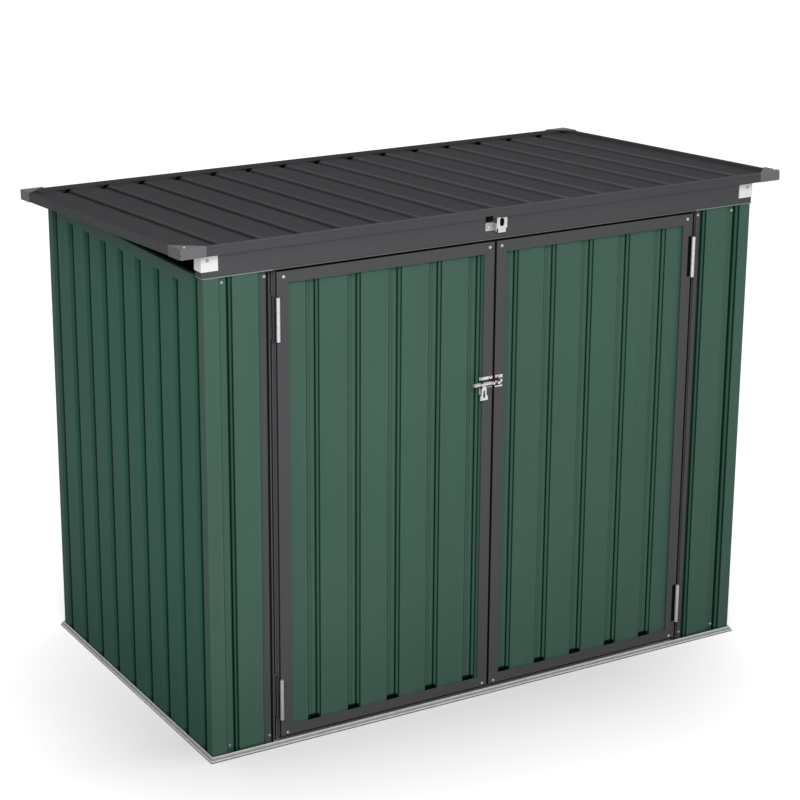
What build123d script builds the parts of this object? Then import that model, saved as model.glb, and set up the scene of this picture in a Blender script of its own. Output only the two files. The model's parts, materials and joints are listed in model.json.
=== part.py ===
from build123d import *
import math
import os

# Low metal bin-store shed: folded steel sheet walls, two framed doors, a sloping lid hinged at the back.
# Millimetres. +X right, front faces -Y, +Z up. Origin: middle of the footprint, on the ground.

# Overall sizes
lid_width = 1740.0
lid_depth = 990.0
lid_front_height = 1310.0
lid_fall = 52.0
lid_side_overhang = 70.0
lid_front_overhang = 30.0
lid_back_overhang = 13.0
wall_drop = 35.0

# Sheet and its grooves
sheet = 1.0
bend = 1.5
groove_width = 36.0
groove_floor = 20.0
groove_depth = 9.0
crease = 2.5
side_groove_count = 9
back_groove_count = 15
end_clearance = 0.5
overrun = 1.0

# Corner sheets
corner_radius = 5.0
corner_side_lap = 48.5
corner_front_lap = 56.0

# Base rail
rail_outset = 9.0
rail_low_step = 4.5
rail_high_step = 9.5
rail_lip = 14.0
rail_tread = 3.0
rail_step_bend = 1.2
rail_upstand = 45.0

# Top rails and narrow front walls
top_rail_height = 31.0
narrow_width = 190.0
narrow_inset = 6.0
narrow_groove_gap = 29.0

# Door posts
post_step_gap = 22.0
post_web_gap = 12.0
post_stop_lap = 20.0
post_step_depth = 20.0
post_stop_gap = 10.0

# Doors
door_gap = 5.0
door_bottom = 19.0
door_thickness = 20.0
door_frame_width = 30.0
door_groove_edge = 98.0
door_groove_pitch = 114.2
door_groove_margin = 50.0
door_panel_tuck = 22.0

# Door hinges
hinge_proud = 6.0
hinge_offset = 0.5
barrel_radius = 5.0
pin_radius = 3.0
pin_clearance = 0.2
barrel_length = 108.0
knuckle_length = 36.0
knuckle_gap = 0.5
leaf = 1.5
leaf_gap = 1.0
fixed_leaf_offset = 3.0
door_leaf_depth = 18.0
stop_foot = 18.0
hinge_low_inset = 106.0
hinge_high_inset = 115.0

# Fascia and its end clips
fascia_depth = 30.0
fascia_lip = 25.0
fascia_inset = 3.0
fascia_outset = 3.0
fascia_return = 35.0
fascia_hem = 2.0
lid_seat_gap = 0.3
clip_sheet = 1.5
clip_front = 42.0
clip_side = 35.0
clip_lift = 17.0
clip_drop = 8.2

# Lid
rim_height = 24.0
rim_top = 14.0
rim_drop = 9.0
lid_groove_depth = 8.0
lid_groove_pitch = 107.8
lid_groove_margin = 100.0
cap_leg = 66.0
cap_wall = 2.0
cap_radius = 4.0

# Lid hinges
lid_hinge_shares = (-0.65, 0.0, 0.65)
lid_barrel_length = 84.0
lid_knuckle_length = 28.0
lid_axis_out = 7.0
lid_fixed_leaf = 26.0

# Lid lock
eye_left = -2.0
eye_width = 30.0
eye_length = 43.0
eye_plate = 2.0
eye_stand = 4.0
eye_hole_radius = 6.5
eye_hole_lift = 26.0
eye_slot = 8.0
eye_foot = 19.0
eye_notch = 4.0
eye_notch_height = 11.0
eye_notch_radius = 3.0
catch_gap = 6.0
catch_width = 23.0
catch_lift = 23.0
catch_height = 20.0
catch_ear = 14.0

# Door bolt
bolt_height = 855.0
bolt_radius = 5.0
bolt_clearance = 0.4
bolt_tail = 20.0
bolt_throw = 18.0
bolt_tip_back = 4.0
bolt_plate_below = 12.0
bolt_plate_above = 16.5
bolt_plate_sheet = 2.0
bolt_tab_below = 32.0
bolt_tab_width = 18.0
bolt_tab_round = 6.0
bolt_loop_width = 5.0
tongue_neck_width = 9.0
tongue_width = 14.0
tongue_foot_width = 22.0
tongue_foot_height = 9.0
tongue_flare = 5.0
tongue_length = 42.0
tongue_sheet = 3.0
tongue_margin = 1.0
tongue_slot_width = 6.0
tongue_slot_lift = 6.0
tongue_slot_length = 20.0
keeper_left = 4.0
keeper_width = 22.0
keeper_below = 15.0
keeper_loop_width = 8.0
keeper_clearance = 1.0

# Places worked out from the sizes
lid_back_height = lid_front_height - lid_fall
wall_width = lid_width - 2 * lid_side_overhang
wall_top = lid_back_height - wall_drop
half_lid = lid_width / 2
half_wall = wall_width / 2
wall_front = -lid_depth / 2 + lid_front_overhang
wall_back = lid_depth / 2 - lid_back_overhang
wall_middle = (wall_front + wall_back) / 2
wall_depth = wall_back - wall_front
panel_depth = groove_depth + sheet
panel_bottom = sheet + end_clearance
panel_top = wall_top - top_rail_height
rail_inner = rail_outset + panel_depth
door_top = wall_top - door_gap
door_outer_edge = half_wall - narrow_width
door_inner_edge = door_gap / 2
door_panel_recess = door_thickness - panel_depth - sheet
narrow_inner_groove = door_outer_edge + narrow_groove_gap
narrow_floor = narrow_inset + groove_depth
post_flange_depth = narrow_floor - sheet
post_step_edge = door_outer_edge + post_step_gap
post_web_edge = door_outer_edge + post_web_gap
post_stop_edge = door_outer_edge - post_stop_lap
post_stop_depth = door_thickness + post_stop_gap
post_flange_edge = narrow_inner_groove + groove_floor / 2 - crease
hinge_x = door_outer_edge + hinge_offset
hinge_y = wall_front - hinge_proud
door_hinge_heights = (door_bottom + hinge_low_inset, door_top - hinge_high_inset)
cap_height = cap_wall + rim_height
lid_slope = math.atan(lid_fall / lid_depth)
lid_run = (lid_depth - cap_height * math.sin(lid_slope)) / math.cos(lid_slope)
lid_middle_y = cap_height * math.sin(lid_slope) / 2
lid_middle_z = lid_front_height - lid_run / 2 * math.sin(lid_slope)
lid_underside = cap_wall + rim_drop + lid_groove_depth + sheet

# Planes: each wall plane has x along the wall, y inwards and z up; the lid plane has z downwards
front_plane = Plane(origin=(0, wall_front, 0), x_dir=(1, 0, 0), z_dir=(0, 0, 1))
back_plane = Plane(origin=(0, wall_back, 0), x_dir=(-1, 0, 0), z_dir=(0, 0, 1))
left_plane = Plane(origin=(-half_wall, wall_middle, 0), x_dir=(0, -1, 0), z_dir=(0, 0, 1))
lid_down = (0, -math.sin(lid_slope), -math.cos(lid_slope))
lid_plane = Plane(origin=(0, lid_middle_y, lid_middle_z), x_dir=(1, 0, 0), z_dir=lid_down)

os.makedirs("parts", exist_ok=True)


def keep(piece, name):
    """Label a finished piece and write it as its own STEP file."""
    piece.part.label = name
    export_step(piece.part, f"parts/{name}.step")


def keep_pair(piece, left_name, right_name):
    """Write a left-hand piece and its mirror image."""
    keep(piece, left_name)
    with BuildPart() as twin:
        mirror(piece.part, about=Plane.YZ)
    keep(twin, right_name)


def groove(centre, face=0.0, depth=groove_depth):
    """Four corners of one pressed groove, from its left edge to its right edge."""
    half_width = groove_width / 2
    half_floor = groove_floor / 2
    return [
        (centre - half_width, face),
        (centre - half_floor, face + depth),
        (centre + half_floor, face + depth),
        (centre + half_width, face),
    ]


def even_places(count, last):
    """Groove centres spread evenly from -last to last."""
    return [last * (2 * i / (count - 1) - 1) for i in range(count)]


def folded(plane, outline, length, radius):
    """Sheet folded along an open outline, thickened to its left and extruded along the plane's normal."""
    with BuildPart() as piece:
        with BuildSketch(plane):
            with BuildLine():
                FilletPolyline(*outline, radius=radius)
                offset(amount=sheet, side=Side.LEFT)
            make_face()
        extrude(amount=length)
    return piece


def mitred_bar(base, length, outline, radius):
    """Folded bar along the base plane's x, drawn in its (y, z), with both ends cut at 45 degrees."""
    section = Plane(base.origin, x_dir=base.y_dir, z_dir=base.x_dir)
    with BuildPart() as bar:
        with BuildSketch(section):
            with BuildLine():
                FilletPolyline(*outline, radius=radius)
                offset(amount=sheet, side=Side.RIGHT)
            make_face()
        extrude(amount=length / 2, both=True)
        for end in (-1, 1):
            corner = base.from_local_coords((end * length / 2, 0, 0))
            split(bisect_by=Plane(corner, z_dir=base.x_dir * -end - base.y_dir), keep=Keep.TOP)
    return bar


def frame_sides(face, width, height):
    """Base planes and lengths of a frame's near, right, far and left bars in the face plane."""
    sides = (
        (0, -height / 2, face.x_dir, width),
        (width / 2, 0, face.y_dir, height),
        (0, height / 2, face.x_dir * -1, width),
        (-width / 2, 0, face.y_dir * -1, height),
    )
    return [
        (Plane(face.from_local_coords((x, y, 0)), x_dir=along, z_dir=face.z_dir), length)
        for x, y, along, length in sides
    ]


# Base rails: a trough for the wall sheets, with two steps and a lip outside and an upstand inside
lip_only = [
    (rail_inner + sheet, 0),
    (0, 0),
    (0, rail_low_step),
    (rail_tread, rail_low_step),
    (rail_tread, rail_high_step),
    (2 * rail_tread, rail_high_step),
    (2 * rail_tread, rail_lip),
]
lip_bends = [bend] + [rail_step_bend] * (len(lip_only) - 3)
lip_and_upstand = [(rail_inner + sheet, rail_upstand)] + lip_only
base_face = Plane(origin=(0, wall_middle, 0), x_dir=(1, 0, 0), z_dir=(0, 0, 1))
base_sides = frame_sides(base_face, wall_width + 2 * rail_outset, wall_depth + 2 * rail_outset)
base_names = ("base_rail_front", "base_rail_right", "base_rail_back", "base_rail_left")
for name, (base, length) in zip(base_names, base_sides):
    if name == "base_rail_front":
        rail = mitred_bar(base, length, lip_only, lip_bends)
    else:
        rail = mitred_bar(base, length, lip_and_upstand, [bend] + lip_bends)
    keep(rail, name)


# Side and back walls: grooved sheet whose end grooves lie under the corner sheets
def wall_panel(plane, count, last_groove):
    """Grooved sheet standing on the base rail, ending in its outer grooves and notched for its top rail."""
    half_end = last_groove + groove_floor / 2 - sheet
    points = []
    for centre in even_places(count, last_groove):
        points += groove(centre)
    outline = [(-half_end, groove_depth)] + points[2:-2] + [(half_end, groove_depth)]
    with BuildPart() as panel:
        add(folded(plane.offset(panel_bottom), outline, wall_top - panel_bottom, crease).part)
        with BuildSketch(plane.offset(panel_top)):
            with Locations((0, -overrun)):
                notch_width = 2 * last_groove - groove_width
                Rectangle(notch_width, panel_depth + 2 * overrun, align=(Align.CENTER, Align.MIN))
        extrude(amount=top_rail_height + overrun, mode=Mode.SUBTRACT)
    return panel


side_last = wall_depth / 2 - corner_side_lap
back_last = half_wall - corner_front_lap
keep_pair(wall_panel(left_plane, side_groove_count, side_last), "left_wall", "right_wall")
keep(wall_panel(back_plane, back_groove_count, back_last), "back_wall")


# Top rails: channels in the notches of the wall sheets, flush with their faces
def top_rail(plane, last_groove):
    """Channel with its web outside, as deep as the wall sheet."""
    half = last_groove - groove_width / 2 - end_clearance
    section = Plane(plane.from_local_coords((-half, 0, wall_top)), x_dir=plane.y_dir, z_dir=plane.x_dir)
    outline = [(panel_depth, 0), (0, 0), (0, -top_rail_height), (panel_depth, -top_rail_height)]
    return folded(section, outline, 2 * half, [bend, 0])


keep_pair(top_rail(left_plane, side_last), "top_rail_left", "top_rail_right")
keep(top_rail(back_plane, back_last), "top_rail_back")


# Corner sheets: round corners whose edges lap over the first groove of each wall
def corner_sheet(plane, near_lap, near_floor, side_lap, side_floor):
    """Corner sheet with x along the near wall and y along the side wall, both inwards."""
    slope = (groove_width - groove_floor) / 2
    half_floor = groove_floor / 2
    outline = [
        (side_floor - sheet, side_lap),
        (side_floor - sheet, side_lap - half_floor),
        (0, side_lap - half_floor - slope),
        (0, 0),
        (near_lap - half_floor - slope, 0),
        (near_lap - half_floor, near_floor - sheet),
        (near_lap, near_floor - sheet),
    ]
    radii = [crease, crease, corner_radius, crease, crease]
    return folded(plane, outline, wall_top - panel_bottom, radii)


front_corner_plane = Plane(origin=(-half_wall, wall_front, panel_bottom), x_dir=(1, 0, 0), z_dir=(0, 0, 1))
front_corner = corner_sheet(front_corner_plane, corner_front_lap, narrow_floor, corner_side_lap, groove_depth)
keep_pair(front_corner, "corner_front_left", "corner_front_right")
back_corner_plane = Plane(origin=(-half_wall, wall_back, panel_bottom), x_dir=(0, -1, 0), z_dir=(0, 0, 1))
back_corner = corner_sheet(back_corner_plane, corner_side_lap, groove_depth, corner_front_lap, groove_depth)
keep_pair(back_corner, "corner_back_left", "corner_back_right")

# Narrow front walls: one flat between the corner's groove and the door post's groove
narrow_outer = half_wall - corner_front_lap
narrow_points = groove(-narrow_outer, narrow_inset) + groove(-narrow_inner_groove, narrow_inset)
narrow_start = (-narrow_outer - groove_floor / 2 + sheet, narrow_floor)
narrow_end = (-post_step_edge - sheet - end_clearance, narrow_floor)
narrow_outline = [narrow_start] + narrow_points[2:6] + [narrow_end]
narrow_wall = folded(front_plane.offset(panel_bottom), narrow_outline, wall_top - panel_bottom, crease)
keep_pair(narrow_wall, "front_wall_left", "front_wall_right")

# Door posts: a flange in the narrow wall's groove, a step, a web beside the door and a stop behind it
post_outline = [
    (-post_flange_edge, post_flange_depth),
    (-post_step_edge, post_flange_depth),
    (-post_step_edge, post_step_depth),
    (-post_web_edge, post_step_depth),
    (-post_web_edge, post_stop_depth),
    (-post_stop_edge, post_stop_depth),
]
door_post = folded(front_plane.offset(panel_bottom), post_outline, wall_top - panel_bottom, bend)
keep_pair(door_post, "door_post_left", "door_post_right")


# Fascia: channel across the front, its top sloped to carry the lid
def lid_height(y, depth):
    """Height at y of the plane that lies a depth below the lid's top."""
    foot_z = lid_middle_z - depth * math.cos(lid_slope)
    foot_y = lid_middle_y - depth * math.sin(lid_slope)
    return foot_z - (y - foot_y) * math.tan(lid_slope)


fascia_end = half_wall + fascia_outset
fascia_section = Plane(origin=(-fascia_end, wall_front, 0), x_dir=(0, 1, 0), z_dir=(1, 0, 0))
fascia_top_front, fascia_top_return, fascia_top_back = [
    lid_height(wall_front + depth, lid_underside) - lid_seat_gap
    for depth in (fascia_inset, fascia_return, fascia_depth)
]
fascia_outline = [
    (fascia_depth, fascia_top_back),
    (fascia_inset, fascia_top_front),
    (fascia_inset, wall_top),
    (fascia_lip, wall_top),
]
fascia_return_outline = [
    (fascia_inset, wall_top),
    (fascia_return, wall_top),
    (fascia_return, fascia_top_return),
    (fascia_inset, fascia_top_front),
]
with BuildPart() as fascia:
    add(folded(fascia_section, fascia_outline, 2 * fascia_end, bend).part)
    with BuildSketch(fascia_section):
        with Locations((0, wall_top)):
            Rectangle(fascia_inset + bend, fascia_hem, align=(Align.MIN, Align.MIN))
    extrude(amount=2 * fascia_end)
    for end in (fascia_section, fascia_section.offset(2 * fascia_end - sheet)):
        with BuildSketch(end):
            with BuildLine():
                Polyline(*fascia_return_outline, close=True)
            make_face()
        extrude(amount=sheet)
keep(fascia, "fascia")

# Fascia clips: bright angles round the two ends of the fascia
clip_bottom = wall_top + clip_lift
clip_top = fascia_top_front - clip_drop
with BuildPart() as fascia_clips:
    with BuildSketch(front_plane.offset(clip_bottom)):
        with BuildLine():
            Polyline(
                (-fascia_end + clip_front, fascia_inset),
                (-fascia_end, fascia_inset),
                (-fascia_end, fascia_inset + clip_side),
            )
            offset(amount=clip_sheet, side=Side.LEFT)
        make_face()
    extrude(amount=clip_top - clip_bottom)
    mirror(about=Plane.YZ)
keep(fascia_clips, "fascia_clips")

# Door frames: channels open towards the sheet, mitred at the corners
door_width = door_outer_edge - door_inner_edge
door_height = door_top - door_bottom
door_middle_x = (door_outer_edge + door_inner_edge) / 2
door_middle_z = (door_top + door_bottom) / 2
door_face = Plane(origin=(-door_middle_x, wall_front, door_middle_z), x_dir=(1, 0, 0), z_dir=(0, 1, 0))
door_channel = [
    (door_frame_width, 0),
    (0, 0),
    (0, door_thickness),
    (door_frame_width, door_thickness),
]
door_bar_names = ("top_rail", "lock_stile", "bottom_rail", "hinge_stile")
for name, (base, length) in zip(door_bar_names, frame_sides(door_face, door_width, door_height)):
    bar = mitred_bar(base, length, door_channel, bend)
    keep_pair(bar, f"left_door_{name}", f"right_door_{name}")

# Door sheets: grooved, tucked into the channels and resting on their back flanges
door_groove_room = door_outer_edge - door_groove_edge - door_groove_margin
door_points = []
for i in range(1 + int(door_groove_room / door_groove_pitch)):
    centre = -door_outer_edge + door_groove_edge + i * door_groove_pitch
    door_points += groove(centre, door_panel_recess)
door_tuck = door_frame_width - door_panel_tuck
door_sheet_outline = (
    [(-door_outer_edge + door_tuck, door_panel_recess)]
    + door_points
    + [(-door_inner_edge - door_tuck, door_panel_recess)]
)
door_sheet_plane = front_plane.offset(door_bottom + door_tuck)
door_sheet = folded(door_sheet_plane, door_sheet_outline, door_height - 2 * door_tuck, crease)
keep_pair(door_sheet, "left_door_sheet", "right_door_sheet")


def spool(plane, length, middle):
    """Fixed barrel of a hinge: two end knuckles joined by the pin, turned about the plane's z."""
    half = length / 2
    half_middle = middle / 2 + knuckle_gap
    with BuildSketch(Plane(plane.origin, x_dir=plane.x_dir, z_dir=plane.y_dir * -1)) as profile:
        with BuildLine():
            Polyline(
                (0, -half),
                (barrel_radius, -half),
                (barrel_radius, -half_middle),
                (pin_radius, -half_middle),
                (pin_radius, half_middle),
                (barrel_radius, half_middle),
                (barrel_radius, half),
                (0, half),
                close=True,
            )
        make_face()
    return revolve(profile.sketch, axis=Axis(plane.origin, plane.z_dir), mode=Mode.PRIVATE)


# Door hinges, fixed half: spool barrels on cranked leaves that are screwed to the door stops
leaf_start = barrel_radius + leaf_gap
stop_leaf_reach = hinge_proud + post_stop_depth
with BuildPart() as door_hinge_fixed:
    for height in door_hinge_heights:
        axis_plane = Plane(origin=(-hinge_x, hinge_y, height))
        add(spool(axis_plane, barrel_length, knuckle_length))
        bottom = axis_plane.offset(-barrel_length / 2)
        with BuildSketch(bottom):
            with BuildLine():
                Polyline(
                    (-fixed_leaf_offset - leaf, leaf_start),
                    (-fixed_leaf_offset, leaf_start),
                    (-fixed_leaf_offset, stop_leaf_reach - leaf),
                    (stop_foot, stop_leaf_reach - leaf),
                    (stop_foot, stop_leaf_reach),
                    (-fixed_leaf_offset - leaf, stop_leaf_reach),
                    close=True,
                )
            make_face()
        extrude(amount=barrel_length)
        neck_length = (barrel_length - knuckle_length) / 2 - knuckle_gap
        for neck in (bottom, axis_plane.offset(barrel_length / 2 - neck_length)):
            with BuildSketch(neck):
                with Locations((-fixed_leaf_offset - leaf, 0)):
                    Rectangle(leaf, leaf_start, align=(Align.MIN, Align.MIN))
            extrude(amount=neck_length)
    mirror(about=Plane.YZ)
keep(door_hinge_fixed, "door_hinge_posts")

# Door hinges, moving half: middle knuckles on leaves that lie on the edges of the doors
door_leaf_reach = hinge_proud + door_leaf_depth
with BuildPart() as door_hinge_moving:
    for height in door_hinge_heights:
        axis_plane = Plane(origin=(-hinge_x, hinge_y, height))
        knuckle_bottom = axis_plane.offset(-knuckle_length / 2)
        with BuildSketch(knuckle_bottom):
            Circle(barrel_radius)
            with Locations((hinge_offset, 0)):
                Rectangle(leaf, leaf_start, align=(Align.MAX, Align.MIN))
            Circle(pin_radius + pin_clearance, mode=Mode.SUBTRACT)
        extrude(amount=knuckle_length)
        with BuildSketch(axis_plane.offset(-barrel_length / 2)):
            with Locations((hinge_offset, leaf_start)):
                Rectangle(leaf, door_leaf_reach - leaf_start, align=(Align.MAX, Align.MIN))
        extrude(amount=barrel_length)
keep_pair(door_hinge_moving, "left_door_hinges", "right_door_hinges")

# Lid sheet: grooves run from front to back, edges inside the rims
lid_half_sheet = half_lid - cap_wall - sheet
lid_sheet_run = lid_run - 2 * (cap_wall + sheet)
lid_along = lid_plane.y_dir * -1
lid_sheet_start = lid_plane.from_local_coords((0, lid_sheet_run / 2, cap_wall + rim_drop))
lid_sheet_plane = Plane(lid_sheet_start, x_dir=(1, 0, 0), z_dir=lid_along)
lid_steps = int((half_lid - lid_groove_margin) / lid_groove_pitch)
lid_points = []
for i in range(-lid_steps, lid_steps + 1):
    lid_points += groove(i * lid_groove_pitch, 0, lid_groove_depth)
lid_outline = [(-lid_half_sheet, 0)] + lid_points + [(lid_half_sheet, 0)]
keep(folded(lid_sheet_plane, lid_outline, lid_sheet_run, crease), "lid_sheet")

# Lid rims: folded edges that stand above the sheet and turn under it
rim_outline = [
    (rim_top, rim_drop),
    (rim_top, 0),
    (0, 0),
    (0, rim_height),
    (rim_top, rim_height),
]
rim_names = ("lid_rim_back", "lid_rim_right", "lid_rim_front", "lid_rim_left")
rim_sides = frame_sides(lid_plane.offset(cap_wall), lid_width - 2 * cap_wall, lid_run - 2 * cap_wall)
for name, (base, length) in zip(rim_names, rim_sides):
    keep(mitred_bar(base, length, rim_outline, bend), name)

# Lid corner caps: triangular plates with two skirts over the rim corners
with BuildPart() as lid_caps:
    with BuildSketch(Plane(lid_plane.from_local_coords((-half_lid, lid_run / 2, 0)),
                           x_dir=(1, 0, 0), z_dir=lid_down)):
        with BuildLine():
            FilletPolyline(
                (0, -cap_leg),
                (0, 0),
                (cap_leg, 0),
                radius=cap_radius,
            )
            Line((cap_leg, 0), (0, -cap_leg))
        make_face()
    extrude(amount=cap_height)
    with BuildSketch(Plane(lid_plane.from_local_coords((-half_lid, lid_run / 2, cap_wall)),
                           x_dir=(1, 0, 0), z_dir=lid_down)):
        with Locations((cap_wall, -cap_wall)):
            Rectangle(cap_leg, cap_leg, align=(Align.MIN, Align.MAX))
    extrude(amount=cap_height, mode=Mode.SUBTRACT)
    mirror(about=Plane.YZ)
    lid_middle = Plane(lid_plane.origin, x_dir=(1, 0, 0), z_dir=lid_plane.y_dir)
    mirror(about=lid_middle)
keep(lid_caps, "lid_corner_caps")

# Lid hinges, fixed half: spool barrels on leaves that lie on the back top rail
lid_hinge_y = wall_back + lid_axis_out
lid_hinge_z = lid_height(lid_hinge_y, cap_height + leaf) - leaf_start
lid_hinge_planes = [
    Plane(origin=(share * half_wall, lid_hinge_y, lid_hinge_z), x_dir=(0, 0, -1), z_dir=(-1, 0, 0))
    for share in lid_hinge_shares
]
with BuildPart() as lid_hinge_fixed:
    for axis_plane in lid_hinge_planes:
        add(spool(axis_plane, lid_barrel_length, lid_knuckle_length))
        neck_length = (lid_barrel_length - lid_knuckle_length) / 2 - knuckle_gap
        start = axis_plane.offset(-lid_barrel_length / 2)
        with BuildSketch(start):
            with Locations((leaf_start, lid_axis_out)):
                Rectangle(lid_fixed_leaf, leaf, align=(Align.MIN, Align.MAX))
        extrude(amount=lid_barrel_length)
        for neck in (start, axis_plane.offset(lid_barrel_length / 2 - neck_length)):
            with BuildSketch(neck):
                with BuildLine():
                    Polyline(
                        (0, 0),
                        (0, barrel_radius),
                        (leaf_start, lid_axis_out),
                        (leaf_start + leaf, lid_axis_out - leaf),
                        close=True,
                    )
                make_face()
            extrude(amount=neck_length)
keep(lid_hinge_fixed, "lid_hinge_posts")

# Lid hinges, moving half: middle knuckles under leaves that lie on the back rim's lower flange
with BuildPart() as lid_hinge_moving:
    for axis_plane in lid_hinge_planes:
        leaf_back = -lid_run / 2 + cap_wall
        leaf_place = lid_plane.from_local_coords((axis_plane.origin.X, leaf_back, cap_height))
        with BuildSketch(Plane(leaf_place, x_dir=(1, 0, 0), z_dir=lid_down)):
            Rectangle(lid_barrel_length, rim_top, align=(Align.CENTER, Align.MIN))
        extrude(amount=leaf)
        with BuildSketch(axis_plane.offset(-lid_knuckle_length / 2)):
            Circle(barrel_radius)
            Rectangle(leaf_start + leaf / 2, 2 * leaf, align=(Align.MAX, Align.CENTER))
        extrude(amount=lid_knuckle_length)
        with BuildSketch(axis_plane.offset(-lid_knuckle_length / 2)):
            Circle(pin_radius + pin_clearance)
        extrude(amount=lid_knuckle_length, mode=Mode.SUBTRACT)
keep(lid_hinge_moving, "lid_hinges")

# Lid eye: a plate that hangs from the front rim in front of the fascia, with a padlock slot
eye_back = wall_front - eye_stand
eye_front = eye_back - eye_foot
eye_top = lid_height(eye_back, cap_height)
eye_bottom = eye_top - eye_length
eye_middle = eye_left + eye_width / 2
with BuildPart() as lid_eye:
    with BuildSketch(Plane(origin=(eye_left, 0, 0), x_dir=(0, 1, 0), z_dir=(1, 0, 0))):
        with BuildLine():
            FilletPolyline(
                (eye_front, lid_height(eye_front, cap_height)),
                (eye_back, eye_top),
                (eye_back, eye_bottom),
                radius=eye_plate + bend,
            )
            offset(amount=eye_plate, side=Side.RIGHT)
        make_face()
    extrude(amount=eye_width)
    with BuildSketch(Plane(origin=(eye_middle, eye_back, eye_bottom), x_dir=(1, 0, 0), z_dir=(0, -1, 0))):
        with Locations((0, eye_hole_lift)):
            SlotCenterToCenter(eye_slot, 2 * eye_hole_radius, rotation=90)
        with Locations((-eye_width / 2, 0), (eye_width / 2, 0)):
            RectangleRounded(2 * eye_notch, 2 * eye_notch_height, eye_notch_radius)
    extrude(amount=eye_plate + overrun, mode=Mode.SUBTRACT)
keep(lid_eye, "lid_lock_eye")

# Fascia catch: an angle on the fascia beside the lid's eye
catch_right = eye_left - catch_gap
catch_left = catch_right - catch_width
with BuildPart() as fascia_catch:
    with BuildSketch(front_plane.offset(wall_top + catch_lift)):
        with BuildLine():
            FilletPolyline(
                (catch_left, fascia_inset),
                (catch_right, fascia_inset),
                (catch_right, -catch_ear),
                radius=eye_plate + bend,
            )
            offset(amount=eye_plate, side=Side.RIGHT)
        make_face()
    extrude(amount=catch_height)
keep(fascia_catch, "fascia_catch")

# Door bolt: plate with two loops on the left lock stile
bolt_y = wall_front - bolt_plate_sheet - keeper_clearance - bolt_radius
bolt_plate_right = -bolt_tip_back
bolt_plate_width = 2 * (bolt_loop_width + tongue_margin) + tongue_neck_width + bolt_throw
bolt_plate_left = bolt_plate_right - bolt_plate_width


def bolt_loop(left, width, bore):
    """Loop over the bolt, standing on the front plane from left to left + width."""
    rim = bore + bolt_plate_sheet
    with BuildSketch(Plane(origin=(left, bolt_y, bolt_height), x_dir=(0, 1, 0), z_dir=(1, 0, 0))) as section:
        Circle(rim)
        Rectangle(wall_front - bolt_y, 2 * rim, align=(Align.MIN, Align.CENTER))
        Circle(bore, mode=Mode.SUBTRACT)
    return extrude(section.sketch, amount=width, mode=Mode.PRIVATE)


with BuildPart() as bolt_plate:
    bolt_plate_base = (bolt_plate_left, wall_front, bolt_height)
    with BuildSketch(Plane(origin=bolt_plate_base, x_dir=(1, 0, 0), z_dir=(0, -1, 0))):
        with Locations((0, bolt_plate_above)):
            Rectangle(bolt_plate_width, bolt_plate_above + bolt_plate_below, align=(Align.MIN, Align.MAX))
        Rectangle(bolt_tab_width, bolt_tab_below, align=(Align.MIN, Align.MAX))
        fillet(vertices().group_by(Axis.Y)[0], radius=bolt_tab_round)
    extrude(amount=bolt_plate_sheet)
    for loop_left in (bolt_plate_left, bolt_plate_right - bolt_loop_width):
        add(bolt_loop(loop_left, bolt_loop_width, bolt_radius + bolt_clearance))
keep(bolt_plate, "left_door_bolt_plate")

# Bolt keeper: plate and loop on the right lock stile
with BuildPart() as bolt_keeper:
    with BuildSketch(Plane(origin=(keeper_left, wall_front, bolt_height), x_dir=(1, 0, 0), z_dir=(0, -1, 0))):
        with Locations((0, bolt_plate_above)):
            Rectangle(keeper_width, bolt_plate_above + keeper_below, align=(Align.MIN, Align.MAX))
    extrude(amount=bolt_plate_sheet)
    add(bolt_loop(keeper_left, keeper_loop_width, bolt_radius + keeper_clearance))
keep(bolt_keeper, "right_door_bolt_keeper")

# Bolt: a rod with a slotted tongue that widens to its foot, drawn back
tongue_middle = bolt_plate_left + bolt_loop_width + tongue_margin + tongue_neck_width / 2
tongue_slot_top = tongue_slot_lift + tongue_slot_length
tongue_half = [
    (tongue_foot_width / 2, 0),
    (tongue_foot_width / 2, tongue_foot_height),
    (tongue_width / 2, tongue_foot_height + tongue_flare),
    (tongue_width / 2, tongue_slot_top),
    (tongue_neck_width / 2, tongue_length - bolt_radius),
    (tongue_neck_width / 2, tongue_length),
]
with BuildPart() as bolt:
    with BuildSketch(Plane(origin=(-bolt_tip_back, bolt_y, bolt_height), x_dir=(0, 1, 0), z_dir=(-1, 0, 0))):
        Circle(bolt_radius)
    extrude(amount=bolt_plate_width + bolt_tail)
    tongue_place = (tongue_middle, bolt_y + tongue_sheet / 2, bolt_height - tongue_length)
    with BuildSketch(Plane(origin=tongue_place, x_dir=(1, 0, 0), z_dir=(0, -1, 0))):
        with BuildLine():
            Polyline(*tongue_half, *[(-x, y) for x, y in reversed(tongue_half)], close=True)
        make_face()
        with Locations((0, tongue_slot_lift + tongue_slot_length / 2)):
            SlotOverall(tongue_slot_length, tongue_slot_width, rotation=90, mode=Mode.SUBTRACT)
    extrude(amount=tongue_sheet)
keep(bolt, "door_bolt")
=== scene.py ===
import json
import math

import bmesh
import bpy
from mathutils import Matrix, Vector


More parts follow.
